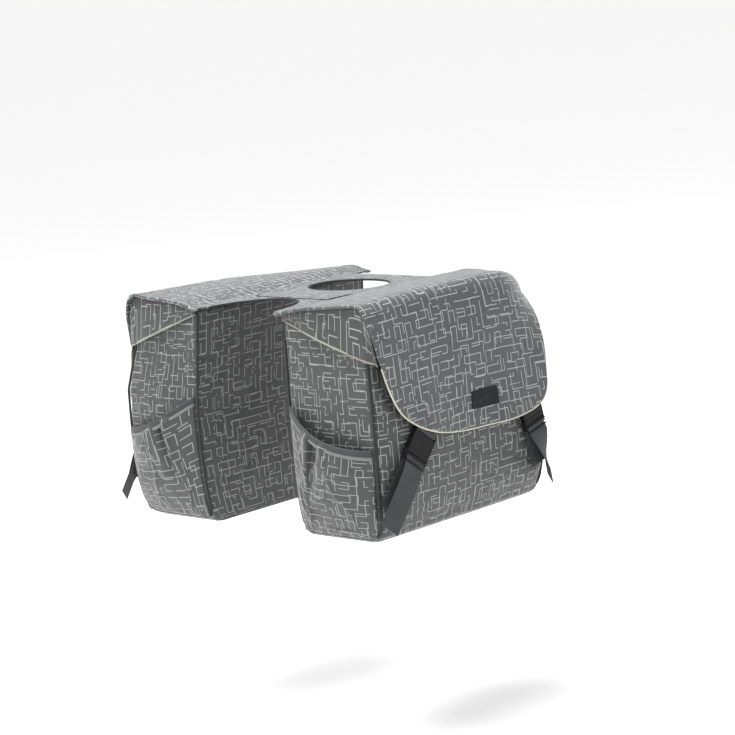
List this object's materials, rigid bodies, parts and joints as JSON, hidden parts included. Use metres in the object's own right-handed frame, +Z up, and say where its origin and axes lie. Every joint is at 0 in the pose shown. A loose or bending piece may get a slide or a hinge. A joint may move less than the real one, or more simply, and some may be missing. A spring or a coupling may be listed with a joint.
{
  "type": "double pannier",
  "caption": "Double pannier: two stuffed cloth bags joined by a cloth bridge, each with a drop flap, end pockets with bound mouths and buckled straps.",
  "frame": {"origin": "middle of the bridge's underside, where the bridge lies over its support", "axes": "+X from the left bag to the right bag, +Y forwards along the bags, +Z up"},
  "size_m": [0.5701, 0.4172, 0.3482],
  "materials": {
    "printed_cloth": "coated grey polyester with a paler print of right-angled lines and a soft sheen",
    "tape_cloth": "dark grey woven binding tape, matte",
    "piping_cloth": "beige piping, matte",
    "webbing": "dark grey ribbed webbing, matte",
    "buckle_plastic": "black moulded nylon, satin",
    "label_rubber": "dark moulded patch, matte and bare"
  },
  "bodies": {
    "root": {"body_right": "printed_cloth", "body_left": "printed_cloth", "flap_right": "printed_cloth", "flap_left": "printed_cloth", "flap_piping_right": "piping_cloth", "flap_piping_left": "piping_cloth", "ear_rear_right": "printed_cloth", "ear_rear_left": "printed_cloth", "ear_front_right": "printed_cloth", "ear_front_left": "printed_cloth", "ear_hem_rear_right": "piping_cloth", "ear_hem_rear_left": "piping_cloth", "ear_hem_front_right": "piping_cloth", "ear_hem_front_left": "piping_cloth", "pocket_rear_right": "printed_cloth", "pocket_rear_left": "printed_cloth", "pocket_front_right": "printed_cloth", "pocket_front_left": "printed_cloth", "pocket_tape_rear_right": "tape_cloth", "pocket_tape_rear_left": "tape_cloth", "pocket_tape_front_right": "tape_cloth", "pocket_tape_front_left": "tape_cloth", "strap_lower_rear_right": "webbing", "strap_lower_rear_left": "webbing", "strap_lower_front_right": "webbing", "strap_lower_front_left": "webbing", "strap_upper_rear_right": "webbing", "strap_upper_rear_left": "webbing", "strap_upper_front_right": "webbing", "strap_upper_front_left": "webbing", "buckle_plug_rear_right": "buckle_plastic", "buckle_plug_rear_left": "buckle_plastic", "buckle_plug_front_right": "buckle_plastic", "buckle_plug_front_left": "buckle_plastic", "buckle_socket_rear_right": "buckle_plastic", "buckle_socket_rear_left": "buckle_plastic", "buckle_socket_front_right": "buckle_plastic", "buckle_socket_front_left": "buckle_plastic", "bridge": "printed_cloth", "bridge_tongue": "printed_cloth", "label_right": "label_rubber"}
  },
  "joints": []
}
